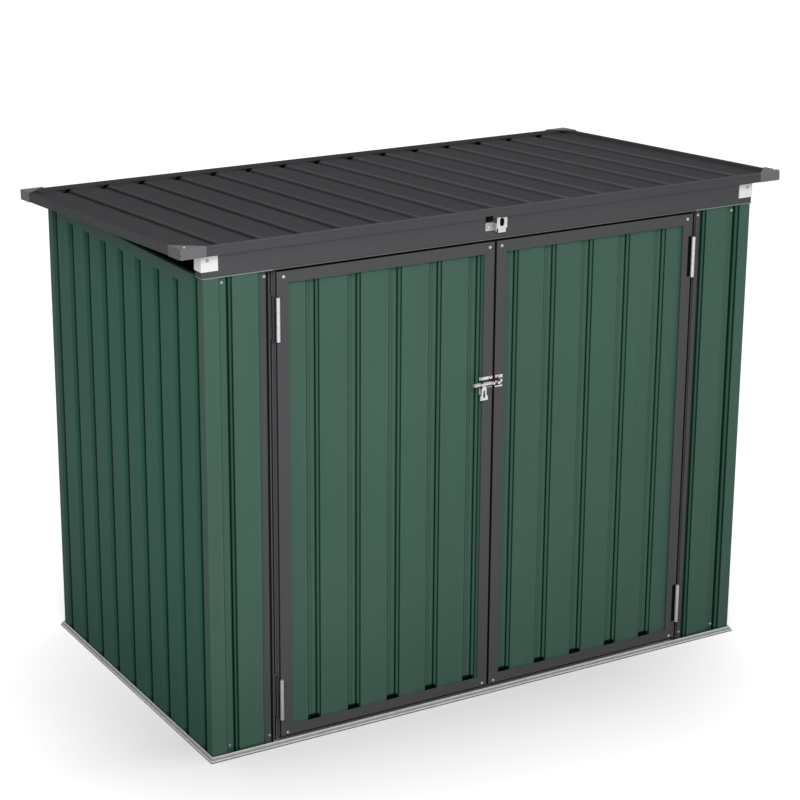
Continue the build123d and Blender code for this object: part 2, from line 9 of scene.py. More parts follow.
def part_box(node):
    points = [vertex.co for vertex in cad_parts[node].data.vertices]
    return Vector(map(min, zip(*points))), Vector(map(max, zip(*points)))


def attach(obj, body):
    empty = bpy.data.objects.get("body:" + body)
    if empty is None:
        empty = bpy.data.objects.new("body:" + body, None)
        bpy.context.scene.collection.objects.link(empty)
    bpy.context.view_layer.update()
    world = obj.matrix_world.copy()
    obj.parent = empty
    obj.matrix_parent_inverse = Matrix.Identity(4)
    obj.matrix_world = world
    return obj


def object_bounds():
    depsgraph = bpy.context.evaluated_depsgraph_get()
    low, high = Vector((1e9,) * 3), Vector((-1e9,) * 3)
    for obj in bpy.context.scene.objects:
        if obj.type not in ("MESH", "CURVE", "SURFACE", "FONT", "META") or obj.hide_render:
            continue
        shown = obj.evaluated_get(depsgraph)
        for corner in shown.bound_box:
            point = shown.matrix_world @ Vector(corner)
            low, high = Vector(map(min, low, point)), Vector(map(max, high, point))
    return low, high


bl_info = {
    "name": "Metal Shed Finish",
    "version": (1, 0, 0),
    "blender": (4, 5, 0),
    "location": "View3D > Sidebar > Shed",
    "description": "Paint, screws and studio stage for a low metal storage shed",
    "category": "Object",
}

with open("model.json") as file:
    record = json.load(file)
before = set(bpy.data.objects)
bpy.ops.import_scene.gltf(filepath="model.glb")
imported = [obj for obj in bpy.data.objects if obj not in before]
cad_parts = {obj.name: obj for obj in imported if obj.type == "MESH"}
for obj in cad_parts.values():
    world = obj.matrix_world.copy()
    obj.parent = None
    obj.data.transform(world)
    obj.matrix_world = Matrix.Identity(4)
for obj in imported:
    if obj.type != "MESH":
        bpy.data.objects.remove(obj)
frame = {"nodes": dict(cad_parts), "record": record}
NODES = frame["nodes"]
CAD_BOX = [list(corner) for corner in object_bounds()]
SLOT_OF = {part["node"]: part["material_slot"] for part in frame["record"]["subparts"]}
SLOT_COLOUR = {slot["slot"]: slot["base_color"] for slot in frame["record"]["materials"]}

# Edges of the shed that the tones are placed by
FACE_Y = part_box("left_door_top_rail")[0].y
BACK_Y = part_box("corner_back_left")[1].y
WALL_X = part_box("right_wall")[1].x
STILE_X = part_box("right_door_hinge_stile")[1].x
DOOR_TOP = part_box("left_door_top_rail")[1].z
DOOR_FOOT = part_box("left_door_bottom_rail")[0].z
SHEET_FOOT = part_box("left_door_bottom_rail")[1].z
FASCIA_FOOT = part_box("fascia")[0].z
RIM_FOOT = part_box("lid_rim_front")[0].z
RIM_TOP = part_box("lid_rim_front")[1].z
LID_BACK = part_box("lid_rim_back")[0].y
LID_X, LID_Y = CAD_BOX[1][:2]

# Rows of grooves: axis, mirrored about the middle or not, centre of one, pitch, side that takes the stronger
# painted shade at the folds
GROOVES = {
    "side": ("Y", False, 0.0085, 0.10625, -1),
    "back": ("X", False, 0.0, 0.106286, 1),
    "door": ("X", True, 0.0552, 0.1142, 1),
    "narrow": ("X", True, 0.639, 0.105, 1),
    "lid": ("X", False, 0.0, 0.1078, 1),
}
# Painted shade at the folds of one groove: distance from its centre, how much darker it is painted there
# (below 0 a painted highlight), how far that reaches
FOLDS = {
    "side": ((-0.0155, 0.25, 0.005), (-0.0065, 0.87, 0.0085)),
    "back": ((0.0105, 0.8, 0.0035), (0.018, 0.7, 0.0035), (-0.018, 0.15, 0.003)),
    "door": (
        (0.0105, 0.92, 0.0035),
        (0.018, 0.84, 0.0031),
        (-0.0035, 0.25, 0.003),
        (-0.018, -0.1, 0.003),
    ),
    "narrow": ((0.0105, 0.95, 0.0048), (0.018, 0.9, 0.0038), (-0.018, -0.25, 0.003)),
    "lid": ((0.0115, 0.68, 0.0042), (0.0178, -0.4, 0.004)),
    "lid_right": ((0.0115, 0.2, 0.0042), (0.0178, -0.8, 0.004)),
}
# Painted shadow at the ends of grooves that run in behind a rail: axis, half the width, where the dark starts
# and is full
GROOVE_ENDS = {
    "door": ("Z", 0.0165, SHEET_FOOT + 0.0075, SHEET_FOOT + 0.0015),
    "lid": ("Y", 0.0225, LID_BACK - 0.016, LID_BACK - 0.006),
}
# Across which stretch the lid's painted fold shade changes from its left look to its right look, and the tone
# of the painted light there
LID_CHANGE = (-0.7, 0.3)
LID_RIGHT_TONE = 1.05
# How far a corner sheet's end face reaches back
CORNER_REACH = 0.016
# Rows of grooves in sheets that stand in the base rail
WALL_ROWS = ("side", "back", "narrow")

# Bands of painted shade and painted light: low limit, high limit, tone (below 1 painted shade, above 1
# painted light)
# Painted shade along the foot of the walls, just over the base rail
WALL_FOOT_BANDS = ((0.0, 0.0178, 0.68),)
LEFT_POST_BANDS = (
    (0.6, 0.6096, 1.7),
    (0.6096, 0.6135, 0.16),
    (0.6135, 0.6191, 1.4),
    (0.6191, 0.6289, 0.1),
)
RIGHT_POST_BANDS = ((0.6255, 0.6305, 0.12), (0.6435, 0.66, 0.35))
STILE_SIDE_BANDS = ((FACE_Y + 0.0015, FACE_Y + 0.0085, 0.3), (FACE_Y + 0.0085, FACE_Y + 0.03, 2.0))
DOOR_GAP_BANDS = ((0.0, 0.0034, 0.15),)
TOP_GAP_BANDS = ((DOOR_TOP - 0.0008, DOOR_TOP + 0.01, 0.12),)
FOOT_GAP_BANDS = ((DOOR_FOOT - 0.01, DOOR_FOOT + 0.0035, 0.12),)
RAIL_BANDS = (
    (0.0, 0.0030, 0.36),
    (0.0030, 0.0054, 1.42),
    (0.0054, 0.0098, 0.72),
    (0.0098, 0.0118, 1.2),
    (0.0118, 0.02, 1.8),
)
BOLT_BANDS = ((0.8440, 0.8512, 0.1), (0.8588, 0.8632, 0.08))
LEAF_BANDS = (
    (FACE_Y - 0.005, FACE_Y + 0.005, 0.12),
    (FACE_Y + 0.005, FACE_Y + 0.0145, 1.8),
    (FACE_Y + 0.0145, FACE_Y + 0.0195, 0.02),
    (FACE_Y + 0.0195, FACE_Y + 0.04, 1.9),
)
RIM_BANDS = ((RIM_TOP - 0.0055, RIM_TOP - 0.002, 0.92), (RIM_TOP - 0.002, RIM_TOP + 0.01, 1.25))
SIDE_RIM_BANDS = ((LID_X - 0.0025, 1.0, 1.4),)
CAP_BANDS = ((LID_X - 0.0008, 1.0, 0.45),)
# Painted highlight along the lower edge of the fascia: its heights, then how much lighter it is painted over
# the doors and over the narrow walls
FASCIA_EDGE = (FASCIA_FOOT - 0.01, FASCIA_FOOT + 0.0022)
FASCIA_EDGE_BANDS = ((0.0, 0.62, 0.7), (0.62, 0.9, 2.2))
# Painted light on the strip of the fascia under the lid's rim, where the rim's shadow falls: heights where it
# starts and is full, and its tone
FASCIA_STRIP = (RIM_FOOT - 0.026, RIM_FOOT + 0.004)
FASCIA_STRIP_TONE = 2.1
# How far in from its outer edge a hinge stile's side face counts
STILE_SIDE = 0.002
# Where the front base rail goes in behind its lip, and the tone of its painted shade there
RAIL_LIP_BACK = FACE_Y + 0.0012
RAIL_BEHIND_TONE = 0.1

# Patches of painted shadow: low and high limit across the shed, low and high limit of height
FASCIA_PATCHES = ((-0.030, -0.008, 1.268, 1.3), (0.006, 0.024, 1.252, 1.278))
RIM_PATCHES = ((-0.050, -0.028, 1.27, 1.2905),)
HINGE_PATCHES = ((0.598, 0.611, 0.071, 0.179), (0.598, 0.611, 1.049, 1.157))
# Tone of patches and groove ends that hardly any light reaches
DARK = 0.06

# Painted shade in the recesses of plated hardware: how far to look for other faces, how open a place is, and
# its tone
HOLLOW_REACH = 0.009
HOLLOW_RAYS = 8
HOLLOW_OPENNESS = (0.25, 0.95)
HOLLOW_TONES = (0.12, 1.0)

# Power of the tone by channel, which turns green paint a deeper green in its painted fold shade
PLAIN_POWERS = (1.0, 1.0, 1.0)
GREEN_POWERS = (1.6, 1.0, 1.2)
# Stretch of the faint rolling lines: along the height of a wall, along the depth of the lid
ROLLED_UP = (14.0, 14.0, 0.5)
ROLLED_BACK = (14.0, 0.5, 14.0)
ROLLED_DETAIL = 3.0

# Drift of a value over the surface: repeats per metre, how far it goes up and down
PAINT_DRIFT = (2.2, 0.03)
PAINT_LINES = (6.0, 0.02)
PAINT_ROUGHENING = (40.0, 0.04)
PLASTIC_DRIFT = (18.0, 0.03)
PLASTIC_ROUGHENING = (120.0, 0.05)
LEAF_ROUGHENING = (300.0, 0.05)
SPANGLE_SWING = 0.05
METAL_ROUGHENING = 0.06
# Fine bumps: repeats per metre, strength, height; on metal the repeats are per grain
PAINT_PEEL = (700.0, 0.08, 0.0004)
PLASTIC_SPARK = (1500.0, 0.1, 0.0003)
METAL_PITTING = (8, 0.05, 0.0003)

# Look of a metal: roughness, grains per metre, how metallic it is
ZINC_LOOK = (0.35, 160.0, 0.6)
DULL_ZINC_LOOK = (0.45, 160.0, 0.6)
GALVANISED_LOOK = (0.5, 90.0, 0.2)
CLIP_ROUGHNESS = 0.35
CAP_ROUGHNESS = 0.5
# How much rougher the lid's paint is than the rest, and its share of the gloss
LID_ROUGHENING = 0.1
LID_GLOSS = 0.5

# Shares of the record's colour by channel
PANEL_SHARES = (0.99, 0.96, 0.95)
# The side walls take a darker, less red copy of the panel paint, as painted shade
SIDE_SHADE_SHARES = (0.8, 0.98, 0.95)
LEAF_SHARES = (0.91, 0.93, 1.0)
SCREW_SHARES = (0.96, 0.98, 1.06)
# Shares of the record's colour, the same for all channels
LID_SHARE = 1.15
# The front rim takes a lighter copy of the lid paint, as painted light
RIM_LIGHT_SHARE = 1.4
CAP_SHARE = 0.73
# Where the lid's eye is painted, it is near-black lid paint, as painted shadow
EYE_SHADE_SHARE = 0.15
DULL_SHARE = 0.75
WALL_SCREW_SHARE = 0.78
# Painted stretch of the door hinges, in bands of painted shade and light, and of the lid's eye, as painted
# shadow, from front to back
PAINTED_LEAVES = (FACE_Y - 0.0035, 1.0)
PAINTED_EYE = (-1.0, FACE_Y - 0.0075)

# Screw head: the side's share of its height, then rings of the dome by share of height and scale
HEAD_SIDE = 0.55
HEAD_RINGS = ((0.25, 0.92), (0.13, 0.85), (0.07, 0.8))
SCREW_CORNERS = 16
# Cross recess: how far in its ring is drawn in the inner corners and beside the arms
RECESS_CORNER = 0.42
RECESS_BESIDE = 0.5
SMOOTH_ANGLE = math.radians(40)

# Places of the screws: distance from the middle across the shed, and heights
WALL_SCREW_HEIGHTS = (0.0265, 1.2075)
FRONT_CORNER_SCREW = 0.7475
BACK_CORNER_SCREW = 0.749
POST_SCREW = 0.6367
DOOR_SCREWS = (0.0175, 0.5925)
DOOR_SCREW_HEIGHTS = {"top_rail": 1.2042, "bottom_rail": 0.0298}
CAP_SCREW = 0.856
CAP_SCREW_DEPTHS = (-0.485, 0.484)
CLIP_SCREW = (0.788, 1.2665)
CATCH_SCREW = (-0.022, 1.256)
BOLT_PLATE_SCREWS = ((-0.0365, 0.8295), (-0.037, 0.8667), (-0.01, 0.8667))
KEEPER_SCREW = (0.015, 0.8667)

# Floor: how far it lies under the shed, its tone to the camera, and its share under the shed, as painted
# shade
FLOOR_DROP = 0.0005
FLOOR_ROUGHNESS = 0.9
FLOOR_TONE = 0.9
COVERED_SHARE = 0.25
# Light that the floor bounces back: distance from the shed where it starts and is full, tone at each
BOUNCE_REACH = (0.1, 0.9)
BOUNCE_TONES = (0.06, 0.7)
# Painted shadow round the shed, taken off the floor's glow: half its size, middle and blur along each axis,
# and how deep it is
SHADE_WINDOWS = {"X": (LID_X + 0.1, -0.22, 0.5), "Y": (LID_Y, -0.35, 1.1)}
SHADE_DEPTH = 0.65
WHITE = (1, 1, 1, 1)
SENSOR_WIDTH = 36.0


def colour_setting(label, slot):
    """Colour property that starts from the record's colour of a finish."""
    return bpy.props.FloatVectorProperty(
        name=label,
        description=f"Base colour of the {label.lower()}",
        default=SLOT_COLOUR[slot],
        subtype="COLOR",
        size=3,
        min=0.0,
        max=1.0,
    )


def length_setting(label, text, metres):
    """Length property in metres."""
    return bpy.props.FloatProperty(
        name=label, description=text, default=metres, unit="LENGTH", min=0.0, precision=4
    )


def place_setting(label, text, place):
    """Property for a place in the scene."""
    return bpy.props.FloatVectorProperty(
        name=label, description=text, default=place, subtype="TRANSLATION", unit="LENGTH"
    )


class ShedFinishSettings(bpy.types.PropertyGroup):
    """Colours and gloss of the shed's finishes."""

    panel: colour_setting("Panel paint", "green_panel")
    trim: colour_setting("Trim paint", "grey_trim")
    lid: colour_setting("Lid paint", "lid_grey")
    galvanised: colour_setting("Galvanised rail", "galvanised")
    zinc: colour_setting("Zinc hardware", "zinc")
    clip: colour_setting("Fascia clip", "white_clip")
    cap: colour_setting("Lid cap", "cap_grey")
    paint_roughness: bpy.props.FloatProperty(
        name="Paint roughness", description="Roughness of the satin paint", default=0.55, min=0.0, max=1.0
    )
    paint_gloss: bpy.props.FloatProperty(
        name="Paint gloss", description="Strength of the paint's reflections", default=0.03, min=0.0, max=1.0
    )


class ShedScrewSettings(bpy.types.PropertyGroup):
    """Sizes of the screws."""

    head_radius: length_setting("Head radius", "Radius of a pan head", 0.0036)
    head_height: length_setting("Head height", "Height of a pan head", 0.0024)
    washer_radius: length_setting("Washer radius", "Radius of the washer under a head", 0.0042)
    washer_height: length_setting("Washer height", "Thickness of the washer", 0.0005)
    recess_radius: length_setting("Recess radius", "Reach of the cross recess", 0.0016)
    recess_depth: length_setting("Recess depth", "Depth of the cross recess", 0.0009)


class ShedStageSettings(bpy.types.PropertyGroup):
    """Camera, floor and light."""

    camera_place: place_setting("Camera place", "Where the camera stands", (-2.898, -4.854, 2.510))
    camera_target: place_setting("Camera target", "Point on the camera's axis", (-0.2377, -0.1688, 0.8590))
    camera_lens: bpy.props.FloatProperty(
        name="Lens", description="Focal length in millimetres", default=98.55, min=1.0
    )
    camera_shift: bpy.props.FloatVectorProperty(
        name="Shift", description="Shift of the picture", default=(0.0590, -0.0455), size=2
    )
    floor_half: length_setting("Floor half width", "Half the width of the floor", 40.0)
    floor_tint: bpy.props.FloatVectorProperty(
        name="Floor tint",
        description="Tint of the pale floor",
        default=(1.0, 0.986, 0.992),
        subtype="COLOR",
        size=3,
    )
    floor_glow: bpy.props.FloatProperty(
        name="Floor glow", description="How much whiter the floor looks than it is lit", default=0.6, min=0.0
    )
    key_place: place_setting("Key place", "Where the key light hangs", (-2.35, -5.07, 3.55))
    key_target: place_setting("Key target", "Point that the key light is aimed at", (0.0, 0.0, 0.6))
    key_size: length_setting("Key size", "Width of the key light", 3.0)
    key_strength: bpy.props.FloatProperty(
        name="Key strength", description="Power of the key light", default=224.0, min=0.0
    )
    world_strength: bpy.props.FloatProperty(
        name="World strength", description="Light from all round", default=0.55, min=0.0
    )


def deselect():
    """Deselect every object, so that operators act on the new piece alone."""
    bpy.ops.object.select_all(action="DESELECT")


def node_in(tree, kind, **sockets):
    """New node with some of its input sockets set."""
    made = tree.nodes.new(kind)
    for name, value in sockets.items():
        made.inputs[name.replace("_", " ")].default_value = value
    return made


def object_noise(tree, scale, stretch=(1.0, 1.0, 1.0), detail=2.0):
    """Noise on Object coordinates, in repeats per metre, stretched along the axes."""
    place = tree.nodes.new("ShaderNodeTexCoord")
    mapping = node_in(tree, "ShaderNodeMapping", Scale=stretch)
    noise = node_in(tree, "ShaderNodeTexNoise", Scale=scale, Detail=detail)
    tree.links.new(place.outputs["Object"], mapping.inputs["Vector"])
    tree.links.new(mapping.outputs["Vector"], noise.inputs["Vector"])
    return noise.outputs["Fac"]


def spread(tree, value, middle, swing):
    """Map the middle of a noise's range to a value that goes up and down by a swing."""
    mapped = node_in(tree, "ShaderNodeMapRange", From_Min=0.3, From_Max=0.7)
    mapped.inputs["To Min"].default_value = middle - swing
    mapped.inputs["To Max"].default_value = middle + swing
    tree.links.new(value, mapped.inputs["Value"])
    return mapped.outputs["Result"]


def drifting(tree, middle, drift):
    """Value that drifts over the surface."""
    scale, swing = drift
    return spread(tree, object_noise(tree, scale), middle, swing)


def reckon(tree, operation, *terms):
    """Math node on sockets or plain numbers."""
    made = tree.nodes.new("ShaderNodeMath")
    made.operation = operation
    for place, term in enumerate(terms):
        if isinstance(term, (int, float)):
            made.inputs[place].default_value = term
        else:
            tree.links.new(term, made.inputs[place])
    return made.outputs[0]


def product(tree, first, *others):
    """Tones multiplied together."""
    for other in others:
        first = reckon(tree, "MULTIPLY", first, other)
    return first


def toned(tree, share, tone):
    """The tone where a share is 1, and 1 where the share is 0."""
    return reckon(tree, "MULTIPLY_ADD", share, tone - 1, 1)


def object_axis(tree, axis):
    """One of the Object coordinates."""
    place = tree.nodes.new("ShaderNodeTexCoord")
    split = tree.nodes.new("ShaderNodeSeparateXYZ")
    tree.links.new(place.outputs["Object"], split.inputs[0])
    return split.outputs[axis]


def across(tree):
    """Distance from the middle of the shed across its width."""
    return reckon(tree, "ABSOLUTE", object_axis(tree, "X"))


def ramp(tree, value, limits, results):
    """Smooth change from one result to another between two limits of a value."""
    made = node_in(tree, "ShaderNodeMapRange", From_Min=limits[0], From_Max=limits[1])
    made.inputs["To Min"].default_value, made.inputs["To Max"].default_value = results
    made.interpolation_type = "SMOOTHSTEP"
    tree.links.new(value, made.inputs["Value"])
    return made.outputs["Result"]


def inside(tree, value, low, high):
    """1 where a value lies between two limits, else 0."""
    return product(tree, reckon(tree, "GREATER_THAN", value, low), reckon(tree, "LESS_THAN", value, high))


def choose(tree, test, yes, no):
    """First value where the test is 1, second where it is 0."""
    mixed = tree.nodes.new("ShaderNodeMix")
    tree.links.new(test, mixed.inputs["Factor"])
    tree.links.new(no, mixed.inputs["A"])
    tree.links.new(yes, mixed.inputs["B"])
    return mixed.outputs["Result"]


def banded(tree, value, bands):
    """Tone of a row of bands given as low limit, high limit and tone; 1 outside them."""
    return product(tree, *[toned(tree, inside(tree, value, low, high), tone) for low, high, tone in bands])


def patched(tree, patches):
    """Tone of patches of painted shadow; 1 outside them."""
    tones = []
    for left, right, low, high in patches:
        on_width = inside(tree, object_axis(tree, "X"), left, right)
        on_height = inside(tree, object_axis(tree, "Z"), low, high)
        tones.append(toned(tree, product(tree, on_width, on_height), DARK))
    return product(tree, *tones)


def fold_shade(tree, row, folds=None):
    """Painted shade and highlights of a row of grooves: thin dark or light lines at the folds, dark ends
    where they run in behind a rail.
    """
    axis, mirrored, centre, pitch, shade_side = GROOVES[row]
    along = object_axis(tree, axis)
    place = reckon(tree, "ABSOLUTE", along) if mirrored else along
    count = reckon(tree, "DIVIDE", reckon(tree, "SUBTRACT", place, centre), pitch)
    rest = reckon(tree, "SUBTRACT", count, reckon(tree, "ROUND", count))
    if mirrored:
        rest = product(tree, rest, reckon(tree, "SIGN", along))
    rest = product(tree, rest, pitch * shade_side)
    tones = []
    for fold, depth, reach in folds or FOLDS[row]:
        away = reckon(tree, "ABSOLUTE", reckon(tree, "SUBTRACT", rest, fold))
        tones.append(ramp(tree, away, (0.0, reach), (1 - depth, 1.0)))
    if row in WALL_ROWS:
        tones.append(banded(tree, object_axis(tree, "Z"), WALL_FOOT_BANDS))
    if row in GROOVE_ENDS:
        axis, half, *limits = GROOVE_ENDS[row]
        near = ramp(tree, object_axis(tree, axis), limits, (0.0, 1.0))
        within = reckon(tree, "LESS_THAN", reckon(tree, "ABSOLUTE", rest), half)
        tones.append(toned(tree, product(tree, near, within), DARK))
    return product(tree, *tones)


def side_shade(tree):
    """Painted fold shade of a side wall."""
    return fold_shade(tree, "side")


def back_shade(tree):
    """Painted fold shade of the back wall."""
    return fold_shade(tree, "back")


def door_shade(tree):
    """Painted fold shade of a door's sheet."""
    return fold_shade(tree, "door")


def narrow_shade(tree):
    """Painted fold shade of a narrow front wall."""
    return fold_shade(tree, "narrow")


def front_corner_shade(tree):
    """Painted fold shade of a front corner sheet: the narrow wall's grooves on its end, the side wall's on
    its side.
    """
    on_end = reckon(tree, "LESS_THAN", object_axis(tree, "Y"), FACE_Y + CORNER_REACH)
    return choose(tree, on_end, narrow_shade(tree), side_shade(tree))


def back_corner_shade(tree):
    """Painted fold shade of a back corner sheet: the back wall's grooves on its end, the side wall's on its
    side.
    """
    on_end = reckon(tree, "GREATER_THAN", object_axis(tree, "Y"), BACK_Y - CORNER_REACH)
    return choose(tree, on_end, back_shade(tree), side_shade(tree))


def lid_shade(tree):
    """Painted shade and highlights of the lid's grooves, darker to the left and lighter to the right."""
    right = ramp(tree, object_axis(tree, "X"), LID_CHANGE, (0.0, 1.0))
    tone = choose(tree, right, fold_shade(tree, "lid", FOLDS["lid_right"]), fold_shade(tree, "lid"))
    return product(tree, tone, toned(tree, right, LID_RIGHT_TONE))


def hollow_shade(tree):
    """Painted shade on plated hardware: darker in its recesses and where pieces lie close together."""
    nook = node_in(tree, "ShaderNodeAmbientOcclusion", Distance=HOLLOW_REACH)
    nook.samples = HOLLOW_RAYS
    return ramp(tree, nook.outputs["AO"], HOLLOW_OPENNESS, HOLLOW_TONES)


def left_post_shade(tree):
    """Painted shade and light on the left door post: dark in the step and beside the web, lighter on the
    edges between.
    """
    return banded(tree, across(tree), LEFT_POST_BANDS)


def right_post_shade(tree):
    """Painted shade on the right door post: dark in the step and where its flange meets the wall."""
    return banded(tree, across(tree), RIGHT_POST_BANDS)


def hinge_stile_shade(tree):
    """Painted light and shade on a hinge stile: its outer side is light with a dark line behind the front
    edge.
    """
    side = banded(tree, object_axis(tree, "Y"), STILE_SIDE_BANDS)
    outer = reckon(tree, "GREATER_THAN", across(tree), STILE_X - STILE_SIDE)
    return reckon(tree, "MULTIPLY_ADD", outer, reckon(tree, "SUBTRACT", side, 1), 1)


def right_hinge_stile_shade(tree):
    """Painted light and shade on the right hinge stile: also a painted shadow beside the hinges."""
    return product(tree, hinge_stile_shade(tree), patched(tree, HINGE_PATCHES))


def stile_shade(tree):
    """Painted shade on a lock stile: dark at the gap between the doors."""
    return banded(tree, across(tree), DOOR_GAP_BANDS)


def top_rail_shade(tree):
    """Painted shade on a door's top rail: dark at the gap under the fascia and at the gap between the doors.
    """
    return product(tree, banded(tree, object_axis(tree, "Z"), TOP_GAP_BANDS), stile_shade(tree))


def bottom_rail_shade(tree):
    """Painted shade on a door's bottom rail: dark at the gap over the base rail and at the gap between the
    doors.
    """
    return product(tree, banded(tree, object_axis(tree, "Z"), FOOT_GAP_BANDS), stile_shade(tree))


def bolt_shade(tree):
    """Painted shade on the bolt's plates: a painted shadow beside the rod, and darker in the recesses."""
    return product(tree, banded(tree, object_axis(tree, "Z"), BOLT_BANDS), hollow_shade(tree))


def cap_shade(tree):
    """Painted shade on the lid's corner caps: darker on their outer side faces."""
    return banded(tree, across(tree), CAP_BANDS)


def front_rim_shade(tree):
    """Painted light and shade on the lid's front rim: a painted highlight on the top edge over a dark bend,
    and a painted shadow in the notch beside the eye.
    """
    return product(tree, banded(tree, object_axis(tree, "Z"), RIM_BANDS), patched(tree, RIM_PATCHES))


def side_rim_shade(tree):
    """Painted light on the lid's side rims: lighter on their outer faces."""
    return banded(tree, across(tree), SIDE_RIM_BANDS)


def fascia_shade(tree):
    """Painted light and shade on the fascia: a painted highlight on its lower edge, painted light on the
    strip under the lid, and painted shadow beside the lid's eye.
    """
    height = object_axis(tree, "Z")
    lighter = banded(tree, across(tree), FASCIA_EDGE_BANDS)
    edge = reckon(tree, "MULTIPLY_ADD", inside(tree, height, *FASCIA_EDGE), lighter, 1)
    strip = ramp(tree, height, FASCIA_STRIP, (1.0, FASCIA_STRIP_TONE))
    return product(tree, edge, strip, patched(tree, FASCIA_PATCHES))


def rail_shade(tree):
    """Painted light and shade on the base rail: bright lip, dark treads and a dark foot."""
    return banded(tree, object_axis(tree, "Z"), RAIL_BANDS)


def front_rail_shade(tree):
    """Painted shade on the front base rail: dark behind its lip, where the doors stand over it."""
    behind = reckon(tree, "GREATER_THAN", object_axis(tree, "Y"), RAIL_LIP_BACK)
    return product(tree, rail_shade(tree), toned(tree, behind, RAIL_BEHIND_TONE))


def tinted(tree, colour, tone, powers=PLAIN_POWERS):
    """Colour scaled by a tone, raised to a power of its own for each channel."""
    joined = tree.nodes.new("ShaderNodeCombineColor")
    for place, (part, power) in enumerate(zip(colour, powers)):
        scale = tone if power == 1.0 else reckon(tree, "POWER", tone, power)
        tree.links.new(product(tree, scale, part), joined.inputs[place])
    return joined.outputs["Color"]


def bumped(tree, shader, scale, strength, distance):
    """Fine bumps on a shader's surface."""
    bump = node_in(tree, "ShaderNodeBump", Strength=strength, Distance=distance)
    tree.links.new(object_noise(tree, scale), bump.inputs["Height"])
    tree.links.new(bump.outputs["Normal"], shader.inputs["Normal"])


def new_finish(name):
    """New material with its node tree and shader."""
    finish = bpy.data.materials.new(name)
    finish.use_nodes = True
    return finish, finish.node_tree, finish.node_tree.nodes["Principled BSDF"]


def paint_finish(name, colour, coat, shade=None, rolled=ROLLED_UP, powers=PLAIN_POWERS):
    """Satin paint on rolled sheet: slow drift of tone, faint rolling lines and a fine orange peel."""
    finish, tree, shader = new_finish(name)
    roughness, gloss = coat
    scale, swing = PAINT_LINES
    lines = spread(tree, object_noise(tree, scale, rolled, ROLLED_DETAIL), 1.0, swing)
    tone = product(tree, drifting(tree, 1.0, PAINT_DRIFT), lines)
    # Painted light and shade of the piece, if it has any
    if shade:
        tone = product(tree, tone, shade(tree))
    tree.links.new(tinted(tree, colour, tone, powers), shader.inputs["Base Color"])
    tree.links.new(drifting(tree, roughness, PAINT_ROUGHENING), shader.inputs["Roughness"])
    shader.inputs["Specular IOR Level"].default_value = gloss
    bumped(tree, shader, *PAINT_PEEL)
    return finish


def metal_finish(name, colour, metal, shade=None):
    """Plated steel with cloudy grain in its tone and gloss."""
    finish, tree, shader = new_finish(name)
    roughness, grain, metallic = metal
    place = tree.nodes.new("ShaderNodeTexCoord")
    spangle = node_in(tree, "ShaderNodeTexVoronoi", Scale=grain)
    tree.links.new(place.outputs["Object"], spangle.inputs["Vector"])
    value = tree.nodes.new("ShaderNodeSeparateColor")
    tree.links.new(spangle.outputs["Color"], value.inputs["Color"])
    tone = spread(tree, value.outputs["Red"], 1.0, SPANGLE_SWING)
    # Painted light and shade of the piece, if it has any
    if shade:
        tone = product(tree, tone, shade(tree))
    tree.links.new(tinted(tree, colour, tone), shader.inputs["Base Color"])
    tree.links.new(drifting(tree, roughness, (2 * grain, METAL_ROUGHENING)), shader.inputs["Roughness"])
    shader.inputs["Metallic"].default_value = metallic
    pits, strength, height = METAL_PITTING
    bumped(tree, shader, pits * grain, strength, height)
    return finish


def plastic_finish(name, colour, roughness, shade=None):
    """Moulded plastic with a fine spark texture."""
    finish, tree, shader = new_finish(name)
    tone = drifting(tree, 1.0, PLASTIC_DRIFT)
    # Painted light and shade of the piece, if it has any
    if shade:
        tone = product(tree, tone, shade(tree))
    tree.links.new(tinted(tree, colour, tone), shader.inputs["Base Color"])
    tree.links.new(drifting(tree, roughness, PLASTIC_ROUGHENING), shader.inputs["Roughness"])
    bumped(tree, shader, *PLASTIC_SPARK)
    return finish


def part_painted_finish(name, zinc, paint, painted, bands=()):
    """Zinc hardware painted over between two limits from front to back, there in bands of painted shade and
    light if given.
    """
    finish, tree, shader = new_finish(name)
    roughness, _, metallic = ZINC_LOOK
    leaf = inside(tree, object_axis(tree, "Y"), *painted)
    colour = node_in(tree, "ShaderNodeMix")
    colour.data_type = "RGBA"
    colour.inputs["A"].default_value = (*zinc, 1)
    if bands:
        tone = banded(tree, object_axis(tree, "Y"), bands)
        tree.links.new(tinted(tree, paint, tone), colour.inputs["B"])
    else:
        colour.inputs["B"].default_value = (*paint, 1)
    tree.links.new(leaf, colour.inputs["Factor"])
    tree.links.new(colour.outputs["Result"], shader.inputs["Base Color"])
    tree.links.new(reckon(tree, "MULTIPLY_ADD", leaf, -metallic, metallic), shader.inputs["Metallic"])
    tree.links.new(drifting(tree, roughness, LEAF_ROUGHENING), shader.inputs["Roughness"])
    return finish


def scaled(colour, shares):
    """Colour times its shares by channel, or times one share."""
    if isinstance(shares, float):
        shares = (shares,) * 3
    return [share * part for share, part in zip(shares, colour)]


def both(name, finish):
    """One finish for the left and the right piece of a name such as {}_wall."""
    return {name.format(side): finish for side in ("left", "right")}


